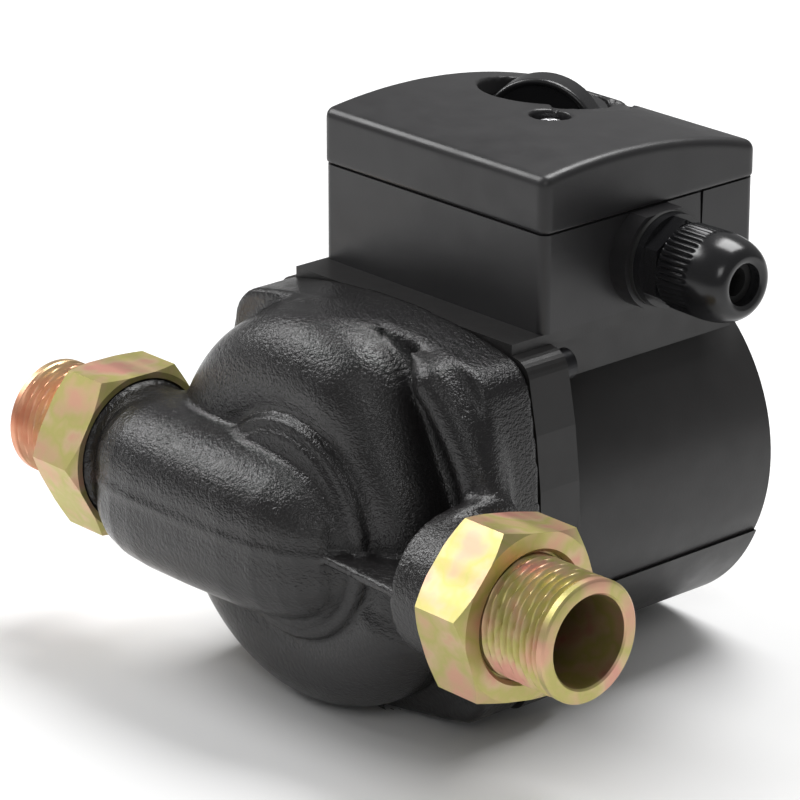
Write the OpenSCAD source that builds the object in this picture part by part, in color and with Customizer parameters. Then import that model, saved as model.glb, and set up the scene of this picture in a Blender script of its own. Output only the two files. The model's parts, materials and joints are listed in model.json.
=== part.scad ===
// Wet-rotor circulation pump with screwed unions and a terminal box.
// X is the pipe axis towards the outlet, Y the motor axis towards the motor's rear, Z is up.
// The origin is where the pipe axis and the motor axis cross.

/* [Pipe line] */
// Distance between the two port faces
port_length = 160; // [158:1:176]
// Outer radius of the thread on each port
port_r = 20.95; // [20.6:0.05:21.4]
// Radius of the water way through each port
port_bore_r = 15; // [13:0.5:16]
// Distance across the flats of a union nut
nut_flats = 45.1; // [44.8:0.1:48]
// Length of a union nut along the pipe
nut_len = 17.9; // [16:0.1:19]
// Thickness of the nut's inward lip
nut_lip = 3; // [2:0.1:4]
// Outer radius of a tailpiece's thread
tail_r = 16.62; // [16.2:0.02:16.9]
// Bore radius of a tailpiece
tail_bore_r = 12.5; // [11:0.1:13]
// Length of a tailpiece over all
tail_len = 26.9; // [26:0.1:36]
// Thickness of the tailpiece's collar
tail_collar_t = 2.5; // [2:0.1:3]
// Thickness of a union gasket
gasket_t = 2; // [1.5:0.1:2.5]
// Pitch of the tailpiece's thread
thread_pitch = 2.309; // [1.8:0.001:2.4]

/* [Volute casing] */
// Half of the flange's width across the middle of its sides
flange_half = 55.4; // [55:0.1:58]
// Radius of the flange's bowed sides
flange_side_r = 195; // [185:1:240]
// Radius of the flange's corners
flange_corner_r = 6; // [5:0.1:7]
// Distance from the pipe axis to the front of the casing's flange
flange_front = 18.2; // [18:0.1:20]
// Thickness of the casing's flange
casing_flange_t = 16.1; // [15.8:0.1:18]
// Largest radius of the spiral from its own centre
spiral_r = 55.5; // [55:0.1:56.5]
// Radius of the spiral's rounded section
spiral_section_r = 15.5; // [15:0.1:16]
// Radius of the dome over the impeller
dome_r = 47; // [46.5:0.1:48]
// Radius of the raised ring round the impeller's eye
eye_ring_r = 31.6; // [30.5:0.1:33]
// How far the dome's front lies in front of the pipe axis
dome_front = 4; // [3.8:0.1:4.5]
// How far the raised ring stands in front of the dome
eye_ring_h = 4; // [3:0.1:4.5]
// Distance of the suction chamber's front from the pipe axis
chamber_front = 25.5; // [25:0.1:27]
// Half of the suction chamber's height
chamber_half = 26.4; // [26:0.1:28]
// Wall thickness of the suction chamber
chamber_wall = 4.5; // [3.5:0.1:5]
// Thickness of the web between suction chamber and outlet
web_t = 2.6; // [2:0.1:4]
// Radius of the opening for the motor
mouth_r = 46.9; // [46.6:0.1:47.2]

/* [Motor] */
// Thickness of the motor's flange
motor_flange_t = 14.2; // [13.4:0.1:16]
// Distance from the joint face to the motor's rear face
motor_len = 92.7; // [92:0.1:98]
// Outer radius of the motor's shell
shell_r = 50.8; // [50.6:0.1:51.6]
// Outer radius of the shell's lower bulge
bulge_r = 53.6; // [53:0.1:54.6]
// Wall thickness of the motor's shell
shell_wall = 4.3; // [4:0.1:4.6]
// Distance of the bulge's upper edge below the motor axis
bulge_drop = 23; // [20:0.5:26]
// Length of the stator core
stator_len = 44; // [38:0.5:46]
// Number of winding slots
slot_count = 12; // [9:1:14]

/* [Rotor] */
// Radius of the rotor shaft
shaft_r = 4; // [3.6:0.1:4.2]
// Radius of the rotor core
rotor_r = 20.6; // [19:0.1:20.8]
// Inner radius of the rotor can
can_r = 21.2; // [21.1:0.1:21.5]
// Wall thickness of the rotor can
can_wall = 0.6; // [0.4:0.1:0.8]
// Outer radius of the shaft bearings
bearing_r = 8; // [7.4:0.1:8.6]
// Radius of the impeller
impeller_r = 38; // [34:0.5:38.5]
// Radius of the impeller's eye
eye_r = 12; // [10:0.5:12.5]
// Number of impeller blades
blade_count = 6; // [5:1:7]
// Height of the impeller's blades
blade_h = 7; // [6:0.1:7.4]

/* [Terminal box] */
// Half of the lid's width
lid_half = 44.05; // [43.6:0.05:46]
// Depth of the lid from front to rear
lid_depth = 80.1; // [79:0.1:84]
// Distance from the motor's joint face to the lid's front
lid_setback = 10.5; // [9.6:0.1:11]
// Height of the box seat above the motor axis
seat_z = 53.5; // [53:0.1:55]
// Height of the terminal tray
tray_h = 27.4; // [26.8:0.1:30]
// Height of the lid's crown above its lower edge
lid_crown = 17.4; // [17:0.1:19]
// Radius of the lid's crowned top
crown_r = 180; // [176:1:260]
// Wall thickness of tray and lid
box_wall = 2.4; // [2:0.1:2.8]
// Radius of the lid's upright corners
lid_corner_r = 2.8; // [2.2:0.1:4]
// Gap that shows between tray and lid
lid_gap = 0.5; // [0.3:0.1:0.8]
// Radius of the recess round the knob
recess_r = 18.6; // [18.4:0.1:19.6]
// Radius of the knob's disc
knob_r = 17.8; // [16:0.1:17.9]
// Height of the knob's grip above its disc
grip_h = 9.2; // [6:0.1:10]
// Thickness of the knob's grip
grip_t = 9; // [7:0.1:11]
// Radius of the recess round the lid screw
screw_recess_r = 5.7; // [5.2:0.1:6.2]

/* [Cable gland] */
// Height of the gland's axis above the box seat
gland_rise = 14.6; // [14.6:0.1:15.4]
// Radius of the moulded boss on the tray
boss_r = 14.5; // [14:0.1:15]
// Length of the moulded boss
boss_len = 6; // [5:0.1:9]
// Radius of the gland's thread
gland_thread_r = 9.2; // [9:0.05:9.5]
// Distance across the flats of the gland's hexagon
gland_flats = 22; // [21.6:0.1:24]
// Outer radius of the gland's cap
cap_r = 12.3; // [12:0.1:13]
// Length of the gland's cap
cap_len = 22; // [21.6:0.1:26]
// Radius of the hole in the gland's cap
cap_mouth_r = 5.8; // [5:0.1:6.4]
// Bore radius of the cable seal
seal_bore_r = 4; // [3:0.1:4.6]

/* [Hidden] */
$fn = 64;

// Overrun that carries a cut past the faces it opens
over = 1;
// Clearance between pieces that turn against each other or slip together
gap = 0.3;
// Clearance of the shaft in its bearings
running_gap = 0.05;
// Clearance of pieces that are pressed together
press_gap = 0.02;

// Faces along the motor axis
joint_y = flange_front + casing_flange_t;
motor_rear_y = joint_y + motor_len;
port_x = port_length / 2;

// Outline of the bowed square flanges
side_centre = flange_side_r - flange_half;
side_inner_r = flange_side_r - flange_corner_r;
corner_c = (sqrt(8 * side_inner_r * side_inner_r - 4 * side_centre * side_centre)
    - 2 * side_centre) / 4;
side_turn = atan2(corner_c, corner_c + side_centre);
side_steps = 6;

// Union parts, from the port face outwards
tail_start_x = port_x + gasket_t;
lip_inner_x = tail_start_x + tail_collar_t;
lip_outer_x = lip_inner_x + nut_lip;
nut_back_x = lip_outer_x - nut_len;
nut_bore_r = port_r + gap;
nut_hole_gap = 0.7;
nut_hole_r = tail_r + nut_hole_gap;
nut_bevel_edge = 0.4;
nut_bevel_r = nut_flats / 2 + nut_bevel_edge;
nut_bevel_angle = 30;
inlet_nut_turn = 28.8;
outlet_nut_turn = 18.6;
collar_r = port_r - gap;
gasket_r = port_r - gap;
thread_depth = 1.3;
thread_count = 8;
groove_share = 0.45;
lead_band = 2.9;
lead_chamfer = 0.6;
port_thread_len = 11;

// Suction chamber: stations along it and the corner radius at each, as shares
port_stub_len = 12;
chamber_start_x = port_x - port_stub_len;
nose_x = 19.5;
chamber_fwd = 7;
chamber_back = 5;
chamber_corner_r = chamber_front - chamber_fwd;
chamber_lift = chamber_half - chamber_corner_r;
chamber_shares = [[0, 0.5], [0.03, 0.7], [0.08, 0.86], [0.15, 0.95], [0.26, 1], [0.5, 0.99], [0.66, 0.93],
    [0.78, 0.84], [0.86, 0.72], [0.92, 0.56], [0.97, 0.36], [1, 0.1]];

// Volute: the spiral's centre lies off the motor axis, and its narrow start is a ridge
spiral_shift = 4;
spiral_step = 0.5;
spiral_y = spiral_section_r - dome_front - spiral_step;
spiral_from = 62;
spiral_to = 340;
ridge_overlap = 10;
ridge_section_r = 6.4;
ridge_inset = 4.1;
ridge_ring_r = spiral_r - ridge_inset;
ridge_setback = 5.4;
ridge_y = flange_front - ridge_setback;
dome_edge_r = 12;
channel_r = 7.5;
channel_offset = 3;
channel_ring_r = impeller_r + channel_offset;
channel_shift = 3;
channel_y = 8.5;
impeller_room = 2;
mouth_step = 1.9;
mouth_front_y = flange_front - mouth_step;
neck_r = 21.5;
neck_shift = 5;
neck_setback = 30;
neck_x = port_x - neck_setback;
neck_bore_r = 13.5;
port_relief = 1.2;
port_body_r = port_r - port_relief;
port_body_len = 20;
neck_len = neck_setback - port_body_len;
web_front = 14.1;
web_tip = 17.4;
web_root = 4;
web_x = nose_x - web_root;
web_end_x = port_x - port_body_len + 3 * over;

// Motor joint: seal and can flange lie in a recess of the casing
can_flange_t = 1.5;
seal_t = 1.5;
joint_recess = can_flange_t + seal_t;
joint_land = 3.4;
can_flange_r = mouth_r + joint_land;
seal_lip = 0.4;
seal_inner_r = mouth_r - seal_lip;
plate_rim_r = seal_inner_r - gap;
plate_t = 1.5;
plate_step = 0.2;
plate_front_y = mouth_front_y + plate_step;
plate_wall_gap = 1.4;
plate_wall_r = mouth_r - plate_wall_gap;
bearing_len = 11;
bearing_y = plate_front_y + gap;
hub_len = bearing_len + gap + plate_step;
hub_wall = 3;
washer_t = 2;
washer_step = 0.5;
washer_r = bearing_r - washer_step;
washer_y = bearing_y + bearing_len + gap;

// Rotor and stator share one middle
stator_setback = 40;
stator_mid_y = joint_y + stator_setback;
rotor_overhang = 2;
rotor_len = stator_len + 2 * rotor_overhang;
can_end_gap = 2.7;
can_end_y = stator_mid_y + rotor_len / 2 + can_end_gap;
rear_bearing_y = can_end_y + gap;
shaft_start_y = 5;
shaft_tip = 1.2;
shaft_end_y = rear_bearing_y + bearing_len + shaft_tip;
shaft_end_gap = 1;
cup_end_y = shaft_end_y + shaft_end_gap;
cup_wall = 3;
neck_recess = 2.2;
can_neck_end_y = motor_rear_y - neck_recess;
vent_hole_r = 6;
vent_end_gap = 2;
vent_end_y = cup_end_y + vent_end_gap;
vent_head_r = 10.5;
vent_head_t = 4.2;
vent_seal_t = 1;
vent_slot_w = 1.8;
vent_slot_d = 1.6;
stator_bore_r = can_r + can_wall + gap;
cavity_r = shell_r - shell_wall;
stator_r = cavity_r - gap;
tooth_tip = 3;
slot_r = stator_bore_r + tooth_tip;
slot_depth = 13;
slot_w = 6;
slot_mouth = 2;
winding_w = 15.8;
winding_r = slot_r + winding_w;
winding_len = 11.5;
housing_rear_t = 3.5;
rear_hole_gap = 1.5;
rear_hole_r = bearing_r + cup_wall + rear_hole_gap;

// Impeller
shroud_t = 1.5;
shroud_y = 3.2;
blades_y = shroud_y + shroud_t;
back_y = blades_y + blade_h;
eye_wall = 2;
eye_neck_step = 0.8;
eye_neck_y = eye_neck_step - dome_front;
hub_r = 7;
hub_gap = 0.1;
hub_end_y = plate_front_y - hub_gap;
blade_t = 1.5;
blade_sweep = 65;
blade_steps = 8;
blade_root_share = 0.2;
neck_ring_in = eye_r + eye_wall + gap;
neck_ring_wall = 2.5;
neck_ring_out = neck_ring_in + neck_ring_wall;

// Screws: head radius, shank radius and socket follow the nominal thread radius
flange_screw_r = 2.5;
flange_head_r = 4.25;
head_gap = 0.4;
flange_head_t = 5;
flange_socket_r = 2.3;
flange_screw_grip = 10;
seat_screw_r = 2;
seat_screw_len = 9;
small_head_r = 3.6;
small_head_t = 2.4;
cross_w = 0.9;
cross_d = 1.2;
cross_share = 0.6;

// Motor housing's pad under the terminal box
pad_inset = 0.85;
pad_half = lid_half - pad_inset;
pad_t = 3.5;
pad_neck_inset = 8.05;
pad_neck_half = lid_half - pad_neck_inset;
pad_neck_step = 2.45;
bulge_shift = 3.4;
pad_neck_len = motor_len - pad_neck_step;
flare_len = 4.5;

// Terminal box: tray and lid outlines
lid_front_y = joint_y + lid_setback;
lid_mid_y = lid_front_y + lid_depth / 2;
lid_rear_y = lid_front_y + lid_depth;
tray_inset = 0.35;
tray_top_z = seat_z + tray_h;
lid_z = tray_top_z + lid_gap;
crown_z = lid_z + lid_crown;
crown_share = 0.3396;
crown_setback = lid_depth * crown_share;
crown_y = lid_front_y + crown_setback;
tray_floor_t = 3;
tray_floor_z = seat_z + tray_floor_t;
lid_top_t = 2.6;
gasket_inset = 0.8;
gasket_w = 1.2;
box_screw_edge = 5;
box_screw_x = pad_neck_half - box_screw_edge;
box_screw_edge_share = 0.0961;
box_screw_inset = lid_depth * box_screw_edge_share;
box_post_r = 5;
cable_hole_r = 6;
cable_hole_x = 20;
box_seal_w = 2.5;
box_seal_t = 1;
slit_w = 1.2;
slit_share = 0.7391;
slit_setback = lid_depth * slit_share;
slit_y = lid_front_y + slit_setback;
slit_d = 1;
slit_len = 15;

// Knob, lid screw and the parts inside the box
knob_x = -17;
knob_share = 0.7266;
knob_setback = lid_depth * knob_share;
knob_y = lid_front_y + knob_setback;
knob_turn = 27;
knob_disc_t = 1.2;
knob_shaft_r = 3;
knob_shaft_len = 12;
recess_floor_h = 8.7;
recess_floor_z = lid_z + recess_floor_h;
recess_wall = 2;
recess_floor_t = 2.4;
lid_screw_x = 6.4;
lid_screw_gap = 3;
screw_floor_h = 10;
screw_floor_z = lid_z + screw_floor_h;
screw_bite = 11.5;
lid_screw_len = screw_floor_z - tray_top_z + screw_bite;
switch_share = 0.1311;
switch_half = lid_depth * switch_share;
switch_top_z = recess_floor_z - recess_floor_t - gap;
capacitor_r = 11;
capacitor_len = 52;
capacitor_x = -28;
capacitor_gap = 2.25;
capacitor_lift = 2;
capacitor_z = tray_floor_z + capacitor_r + capacitor_lift;
clip_w = 12;
clip_t = 1.5;
capacitor_y = lid_front_y + tray_inset + box_wall + capacitor_gap + clip_t + capacitor_r;
lid_screw_y = capacitor_y + capacitor_r + clip_t + lid_screw_gap + box_post_r;
block_x = 10;
block_len = 26;
block_w = 14;
block_h = 15;
block_edge_share = 0.3496;
block_inset = lid_depth * block_edge_share;
block_y = lid_rear_y - block_inset;
terminal_count = 3;
terminal_screw_r = 1.8;
terminal_sink = 1;
earth_x = 32;
earth_share = 0.2747;
earth_setback = lid_depth * earth_share;
earth_y = lid_front_y + earth_setback;

// Gland, from the tray's wall outwards
gland_share = 0.4869;
gland_setback = lid_depth * gland_share;
gland_y = lid_front_y + gland_setback;
gland_z = seat_z + gland_rise;
tray_half = lid_half - tray_inset;
boss_end_x = tray_half + boss_len;
washer_len = 1.2;
boss_rim = 1.3;
gland_washer_r = boss_r - boss_rim;
gland_collar_x = boss_end_x + washer_len;
gland_collar_t = 2.3;
gland_hex_t = 4.5;
gland_hex_x = gland_collar_x + gland_collar_t;
cap_x = gland_hex_x + gland_hex_t + gap;
cap_skirt = cap_len / 2;
cap_thread_len = 9;
cap_rim_w = 1.6;
cap_draft = 0.5;
seal_step = 0.9;
gland_bore_r = seal_bore_r + seal_step;
gland_rim_wall = 1.3;
seal_r = gland_thread_r - gland_rim_wall - gap;
seal_inset = 2;
seal_x = cap_x + seal_inset;
cap_end_t = 4.2;
seal_end_x = cap_x + cap_len - cap_end_t;
locknut_t = 3.2;
locknut_flats = 22.4;
spigot_tip = 1.5;
gland_inner_x = tray_half - box_wall - locknut_t - spigot_tip;

// Moves a piece built along Z so that it runs along X or Y from a given place
module along_x(x) translate([x, 0, 0]) rotate([0, 90, 0]) children();
module along_y(y) translate([0, y, 0]) rotate([-90, 0, 0]) children();

module ring(r_out, r_in, h) {
    difference() {
        cylinder(r = r_out, h = h);
        translate([0, 0, -over]) cylinder(r = r_in, h = h + 2 * over);
    }
}

module hexagon(flats, h) cylinder(r = flats / sqrt(3), h = h, $fn = 6);

function turned(p, a) = [p.x * cos(a) - p.y * sin(a), p.x * sin(a) + p.y * cos(a)];
function arc(c, r, from, to, n) = [for (i = [0:n]) let (a = from + (to - from) * i / n)
    [c.x + r * cos(a), c.y + r * sin(a)]];

// Square with bowed sides and round corners, the same for both flanges
module flange_outline() {
    side = arc([-side_centre, 0], flange_side_r, -side_turn, side_turn, side_steps);
    corner = arc([corner_c, corner_c], flange_corner_r, side_turn, 90 - side_turn, side_steps);
    polygon([for (q = [0:3]) each [for (p = concat(side, [for (i = [1:side_steps - 1]) corner[i]]))
        turned(p, 90 * q)]]);
}

module at_corners(c) {
    for (x = [-c, c], z = [-c, c]) translate([x, 0, z]) children();
}

module rounded_rect(half_x, half_y, r) {
    square([2 * (half_x - r), 2 * half_y], center = true);
    square([2 * half_x, 2 * (half_y - r)], center = true);
    for (x = [-1, 1], y = [-1, 1]) translate([x * (half_x - r), y * (half_y - r)]) circle(r);
}

// Upright block on the lid's outline, drawn in by the inset
module box_block(inset, z, h) {
    translate([0, lid_mid_y, z]) linear_extrude(h)
        rounded_rect(lid_half - inset, lid_depth / 2 - inset, lid_corner_r - inset / 2);
}

// Rounded casting that leads the water from the inlet port to the front of the impeller
module chamber_form(inset) {
    start = -chamber_start_x + inset;
    span = nose_x + chamber_start_x - 2 * inset;
    profile = [for (s = chamber_shares)
        [chamber_corner_r * s[1] - inset * s[1], start + span * s[0]]];
    hull() {
        for (y = [-chamber_fwd, chamber_back], z = [-chamber_lift, chamber_lift])
            translate([0, y, z]) rotate([0, 90, 0])
                rotate_extrude($fn = 32) polygon(concat([[0, start]], profile, [[0, start + span]]));
    }
}

module dome_form() {
    edge = arc([dome_r - dome_edge_r, dome_edge_r - dome_front], dome_edge_r, -90, 0, 8);
    rotate([-90, 0, 0]) rotate_extrude()
        polygon(concat([[0, -dome_front]], edge, [[dome_r, flange_front + over],
            [0, flange_front + over]]));
    along_y(-dome_front - eye_ring_h) cylinder(r1 = eye_ring_r - eye_ring_h / 3, r2 = eye_ring_r,
        h = eye_ring_h + over);
}

module spiral_form() {
    translate([-spiral_shift, spiral_y, 0]) rotate([-90, 0, 0]) rotate([0, 0, -spiral_to])
        rotate_extrude(angle = spiral_to - spiral_from)
            translate([spiral_r - spiral_section_r, 0]) circle(spiral_section_r);
    translate([0, ridge_y, 0]) rotate([-90, 0, 0]) rotate([0, 0, -spiral_from - ridge_overlap])
        rotate_extrude(angle = 360 - spiral_to + spiral_from + 2 * ridge_overlap)
            translate([ridge_ring_r, 0]) circle(ridge_section_r);
}

module volute_casing() {
    color("#26262a") difference() {
        union() {
            along_y(flange_front) linear_extrude(casing_flange_t) flange_outline();
            dome_form();
            spiral_form();
            chamber_form(0);
            translate([0, neck_shift, 0]) along_x(neck_x) rotate_extrude()
                polygon(concat(arc([0, 0], neck_r, -90, 0, 8),
                    [[neck_r, neck_len + 2 * over], [0, neck_len + 2 * over]]));
            for (side = [0, 1]) mirror([side, 0, 0]) {
                along_x(port_x - port_body_len) cylinder(r = port_body_r, h = port_body_len);
                along_x(port_x - port_thread_len) cylinder(r = port_r, h = port_thread_len);
            }
            translate([0, 0, -web_t / 2]) linear_extrude(web_t)
                polygon([[web_x, -web_front], [web_end_x, -web_tip], [web_end_x, neck_shift],
                    [web_x, neck_shift]]);
        }
        difference() {
            chamber_form(chamber_wall);
            dome_form();
            spiral_form();
        }
        along_x(-port_x - over) cylinder(r = port_bore_r, h = port_body_len + over);
        along_x(port_x - port_body_len + 2 * over)
            cylinder(r = port_bore_r, h = port_body_len);
        translate([0, neck_shift, 0]) along_x(neck_x - neck_bore_r)
            cylinder(r = neck_bore_r, h = neck_bore_r + neck_len + 3 * over);
        along_y(-dome_front - eye_ring_h - over)
            cylinder(r = neck_ring_out + press_gap, h = dome_front + eye_ring_h + 2 * over);
        along_y(0) cylinder(r = impeller_r + impeller_room, h = mouth_front_y + over);
        translate([-channel_shift, channel_y, 0]) rotate([-90, 0, 0]) rotate_extrude()
            translate([channel_ring_r, 0]) circle(channel_r);
        along_y(mouth_front_y) cylinder(r = mouth_r, h = joint_y - mouth_front_y + over);
        along_y(joint_y - joint_recess) cylinder(r = can_flange_r + gap, h = joint_recess + over);
        at_corners(corner_c) along_y(joint_y - flange_screw_grip - over)
            cylinder(r = flange_screw_r + press_gap, h = flange_screw_grip + 2 * over);
    }
}

module neck_ring() {
    color("#b9b4a6") along_y(-dome_front) ring(neck_ring_out, neck_ring_in, dome_front);
}

module gasket() {
    color("#1b1b1b") along_x(port_x) ring(gasket_r, tail_bore_r + gap, gasket_t);
}
module inlet_gasket() mirror([1, 0, 0]) gasket();
module outlet_gasket() gasket();

// Male thread drawn as parallel grooves, with a plain band at its tip
module tailpiece(tint) {
    color(tint) difference() {
        union() {
            along_x(tail_start_x) cylinder(r = collar_r, h = tail_collar_t);
            along_x(tail_start_x) cylinder(r = tail_r, h = tail_len - lead_chamfer);
            along_x(tail_start_x + tail_len - lead_chamfer)
                cylinder(r1 = tail_r, r2 = tail_r - lead_chamfer, h = lead_chamfer);
        }
        along_x(tail_start_x - over) cylinder(r = tail_bore_r, h = tail_len + 2 * over);
        for (i = [0:thread_count - 1])
            along_x(tail_start_x + tail_len - lead_band - (i + 0.5) * thread_pitch)
                rotate_extrude() polygon([[tail_r + over / 10, -thread_pitch * groove_share],
                    [tail_r + over / 10, thread_pitch * groove_share],
                    [tail_r - thread_depth, 0]]);
    }
}
module inlet_tailpiece() mirror([1, 0, 0]) tailpiece("#c88a5c");
module outlet_tailpiece() tailpiece("#c8b26c");

// Hexagon with both faces bevelled, a threaded socket and an inward lip
module union_nut(turn, tint) {
    round_r = nut_flats / sqrt(3) + over;
    bevel = (round_r - nut_bevel_r) * tan(nut_bevel_angle);
    color(tint) difference() {
        intersection() {
            along_x(nut_back_x) rotate([0, 0, turn]) hexagon(nut_flats, nut_len);
            along_x(nut_back_x) rotate_extrude() polygon([[0, 0], [nut_bevel_r, 0],
                [round_r, bevel], [round_r, nut_len - bevel], [nut_bevel_r, nut_len],
                [0, nut_len]]);
        }
        along_x(nut_back_x - over) cylinder(r = nut_bore_r, h = nut_len - nut_lip + over);
        along_x(nut_back_x - over) cylinder(r = nut_hole_r, h = nut_len + 2 * over);
        along_x(lip_outer_x - over) cylinder(r1 = nut_hole_r, r2 = nut_hole_r + over,
            h = over + over / 100);
    }
}
module inlet_union_nut() mirror([1, 0, 0]) union_nut(inlet_nut_turn, "#d9c08a");
module outlet_union_nut() union_nut(outlet_nut_turn, "#cfc077");

function blade_point(s, side) =
    let (grow = blade_root_share + (1 - blade_root_share) * s,
        r = hub_r + (impeller_r - hub_r - blade_t / 2) * grow, a = -blade_sweep * s)
    turned([r, side * blade_t / 2], a);

module impeller() {
    color("#c9c2b0") difference() {
        union() {
            along_y(eye_neck_y) cylinder(r = eye_r + eye_wall, h = shroud_y - eye_neck_y);
            along_y(shroud_y) cylinder(r = impeller_r, h = shroud_t);
            along_y(back_y) cylinder(r = impeller_r, h = shroud_t);
            along_y(shaft_start_y) cylinder(r = hub_r, h = hub_end_y - shaft_start_y);
            for (i = [0:blade_count - 1]) rotate([0, 360 * i / blade_count, 0])
                along_y(shroud_y + shroud_t / 2) linear_extrude(blade_h + shroud_t)
                    polygon(concat([for (k = [0:blade_steps]) blade_point(k / blade_steps, 1)],
                        [for (k = [blade_steps:-1:0]) blade_point(k / blade_steps, -1)]));
        }
        along_y(eye_neck_y - over) cylinder(r = eye_r, h = shaft_start_y - eye_neck_y + over);
        along_y(shaft_start_y - over) cylinder(r = shaft_r + press_gap, h = hub_end_y);
    }
}

module rotor_shaft() {
    color("#c8ccd0") along_y(shaft_start_y) cylinder(r = shaft_r, h = shaft_end_y - shaft_start_y);
}

module rotor_core() {
    color("#8d9096") along_y(stator_mid_y - rotor_len / 2)
        ring(rotor_r, shaft_r + press_gap, rotor_len);
}

module thrust_washer() {
    color("#3a3a3c") along_y(washer_y) ring(washer_r, shaft_r + press_gap, washer_t);
}

module bearing(y) {
    color("#dcd8cc") along_y(y) ring(bearing_r, shaft_r + running_gap, bearing_len);
}
module front_bearing() bearing(bearing_y);
module rear_bearing() bearing(rear_bearing_y);

// Pressed plate that closes the rotor room and holds the front bearing in its hub
module bearing_plate() {
    bore = bearing_r + press_gap;
    color("#b8bcc0") rotate([-90, 0, 0]) rotate_extrude() polygon([
        [bore, plate_front_y], [plate_wall_r, plate_front_y],
        [plate_wall_r, joint_y - joint_recess], [plate_rim_r, joint_y - joint_recess],
        [plate_rim_r, joint_y - can_flange_t], [plate_wall_r - plate_t, joint_y - can_flange_t],
        [plate_wall_r - plate_t, plate_front_y + plate_t],
        [bearing_r + hub_wall, plate_front_y + plate_t],
        [bearing_r + hub_wall, plate_front_y + hub_len], [bore, plate_front_y + hub_len]]);
}

// Thin pot round the rotor, with the rear bearing's cup and the threaded neck of the vent
module rotor_can() {
    cup_r = bearing_r + press_gap;
    neck_out = bearing_r + cup_wall;
    color("#c2c6ca") rotate([-90, 0, 0]) rotate_extrude() polygon([
        [can_r, joint_y - can_flange_t], [can_flange_r, joint_y - can_flange_t],
        [can_flange_r, joint_y], [can_r + can_wall, joint_y],
        [can_r + can_wall, can_end_y + can_wall], [neck_out, can_end_y + can_wall],
        [neck_out, can_neck_end_y], [vent_hole_r, can_neck_end_y], [vent_hole_r, cup_end_y],
        [cup_r, cup_end_y], [cup_r, can_end_y], [can_r, can_end_y]]);
}

module casing_seal() {
    color("#202020") along_y(joint_y - joint_recess) ring(can_flange_r, seal_inner_r, seal_t);
}

module slots(w, mouth, inset, y, h) {
    for (i = [0:slot_count - 1]) rotate([0, 360 * i / slot_count, 0]) along_y(y) {
        translate([slot_r + inset, -w / 2, 0]) cube([slot_depth - 2 * inset, w, h]);
        if (mouth > 0) translate([stator_bore_r - over, -mouth / 2, 0])
            cube([slot_r - stator_bore_r + 2 * over, mouth, h]);
    }
}

module stator_core() {
    start = stator_mid_y - stator_len / 2;
    color("#7c8088") difference() {
        along_y(start) ring(stator_r, stator_bore_r, stator_len);
        slots(slot_w, slot_mouth, 0, start - over, stator_len + 2 * over);
    }
}

module stator_windings() {
    start = stator_mid_y - stator_len / 2;
    color("#a4552a") {
        for (y = [start - gap - winding_len, start + stator_len + gap])
            along_y(y) ring(winding_r, slot_r, winding_len);
        slots(slot_w - 2 * gap, 0, gap, start - over - gap, stator_len + 2 * (over + gap));
    }
}

module motor_housing() {
    shell_len = motor_len;
    color("#1f2023") difference() {
        union() {
            intersection() {
                along_y(joint_y) linear_extrude(motor_flange_t) flange_outline();
                translate([-flange_side_r, 0, -flange_side_r])
                    cube([2 * flange_side_r, motor_rear_y, flange_side_r + seat_z]);
            }
            along_y(joint_y) cylinder(r = shell_r, h = shell_len);
            intersection() {
                along_y(joint_y + motor_flange_t - over)
                    cylinder(r1 = flange_half, r2 = shell_r, h = flare_len + over);
                translate([-flange_half, 0, -flange_half])
                    cube([2 * flange_half, motor_rear_y, flange_half + seat_z - over]);
            }
            intersection() {
                translate([0, 0, -bulge_shift]) along_y(joint_y)
                    cylinder(r = bulge_r - bulge_shift, h = shell_len);
                translate([-bulge_r, 0, -bulge_r])
                    cube([2 * bulge_r, motor_rear_y, bulge_r - bulge_drop]);
            }
            translate([-pad_half, joint_y, seat_z - pad_t])
                cube([2 * pad_half, lid_rear_y - tray_inset - joint_y, pad_t]);
            translate([-pad_neck_half, joint_y, 0])
                cube([2 * pad_neck_half, pad_neck_len, seat_z - pad_t]);
        }
        along_y(joint_y - over)
            cylinder(r = cavity_r, h = motor_len - housing_rear_t + over);
        along_y(joint_y) cylinder(r = rear_hole_r, h = motor_len + over);
        at_corners(corner_c) along_y(joint_y - over)
            cylinder(r = flange_screw_r + gap, h = motor_flange_t + 2 * over);
        at_corners(corner_c) along_y(joint_y + motor_flange_t)
            cylinder(r = flange_head_r + head_gap, h = motor_len);
        translate([cable_hole_x, lid_mid_y, cavity_r - 2 * cable_hole_r])
            cylinder(r = cable_hole_r, h = seat_z);
        translate([cable_hole_x, lid_mid_y, seat_z - box_seal_t])
            cylinder(r = cable_hole_r + box_seal_w + gap, h = box_seal_t + over);
        box_screw_places() translate([0, 0, seat_z - seat_screw_len - over])
            cylinder(r = seat_screw_r + press_gap, h = seat_screw_len + 2 * over);
    }
}

module socket_screw(head_r, head_t, r, len, socket_r) {
    difference() {
        union() {
            cylinder(r = head_r, h = head_t);
            translate([0, 0, -len]) cylinder(r = r, h = len);
        }
        translate([0, 0, head_t / 2]) cylinder(r = socket_r, h = head_t, $fn = 6);
    }
}

module flange_screws() {
    color("#1a1a1c") at_corners(corner_c) along_y(joint_y + motor_flange_t)
        socket_screw(flange_head_r, flange_head_t, flange_screw_r,
            motor_flange_t + flange_screw_grip, flange_socket_r);
}

// Plug in the middle of the motor's rear that lets air out of the rotor room
module vent_screw() {
    head_y = can_neck_end_y + vent_seal_t;
    color("#c9b06a") difference() {
        union() {
            along_y(head_y) cylinder(r = vent_head_r, h = vent_head_t);
            along_y(vent_end_y) cylinder(r = vent_hole_r - gap, h = head_y - vent_end_y + over);
        }
        translate([-vent_head_r - over, head_y + vent_head_t - vent_slot_d, -vent_slot_w / 2])
            cube([2 * (vent_head_r + over), vent_slot_d + over, vent_slot_w]);
    }
}

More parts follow.
